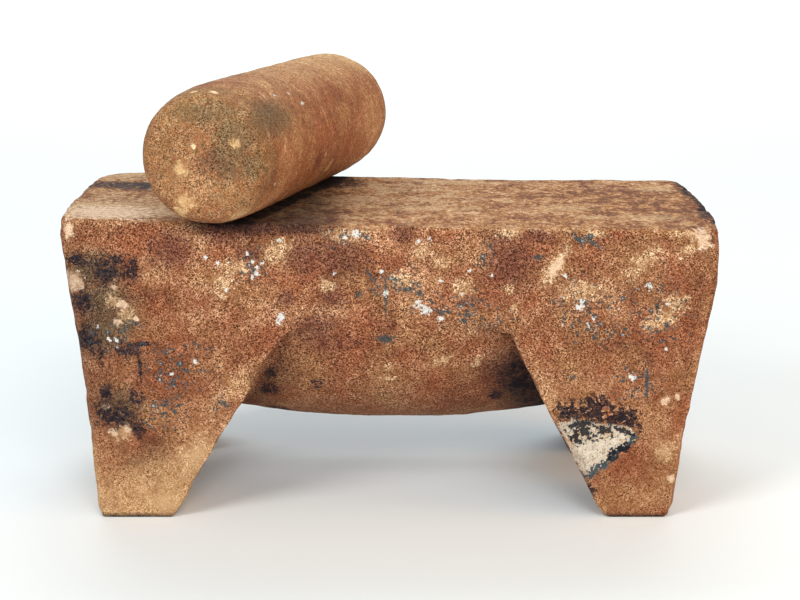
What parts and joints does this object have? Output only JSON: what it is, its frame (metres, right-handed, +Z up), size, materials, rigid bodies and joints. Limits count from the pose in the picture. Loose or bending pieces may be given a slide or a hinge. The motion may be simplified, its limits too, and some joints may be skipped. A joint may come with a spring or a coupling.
{
  "type": "grinding stone",
  "caption": "Legged grinding slab of weathered reddish volcanic stone with a rounded belly, and a cylindrical hand stone lying loose across its worn top.",
  "frame": {"origin": "on the floor, under the middle of the box around the slab and the hand stone", "axes": "+X along the slab, +Y from its front to its back, +Z up"},
  "size_m": [0.4318, 0.2952, 0.2864],
  "materials": {
    "slab_stone": "rough, pitted and stained, with a smoother worn top",
    "hand_stone": "rough, worn smooth along its sides"
  },
  "bodies": {
    "root": {"grinding_slab": "slab_stone", "hand_stone": "hand_stone"}
  },
  "joints": []
}
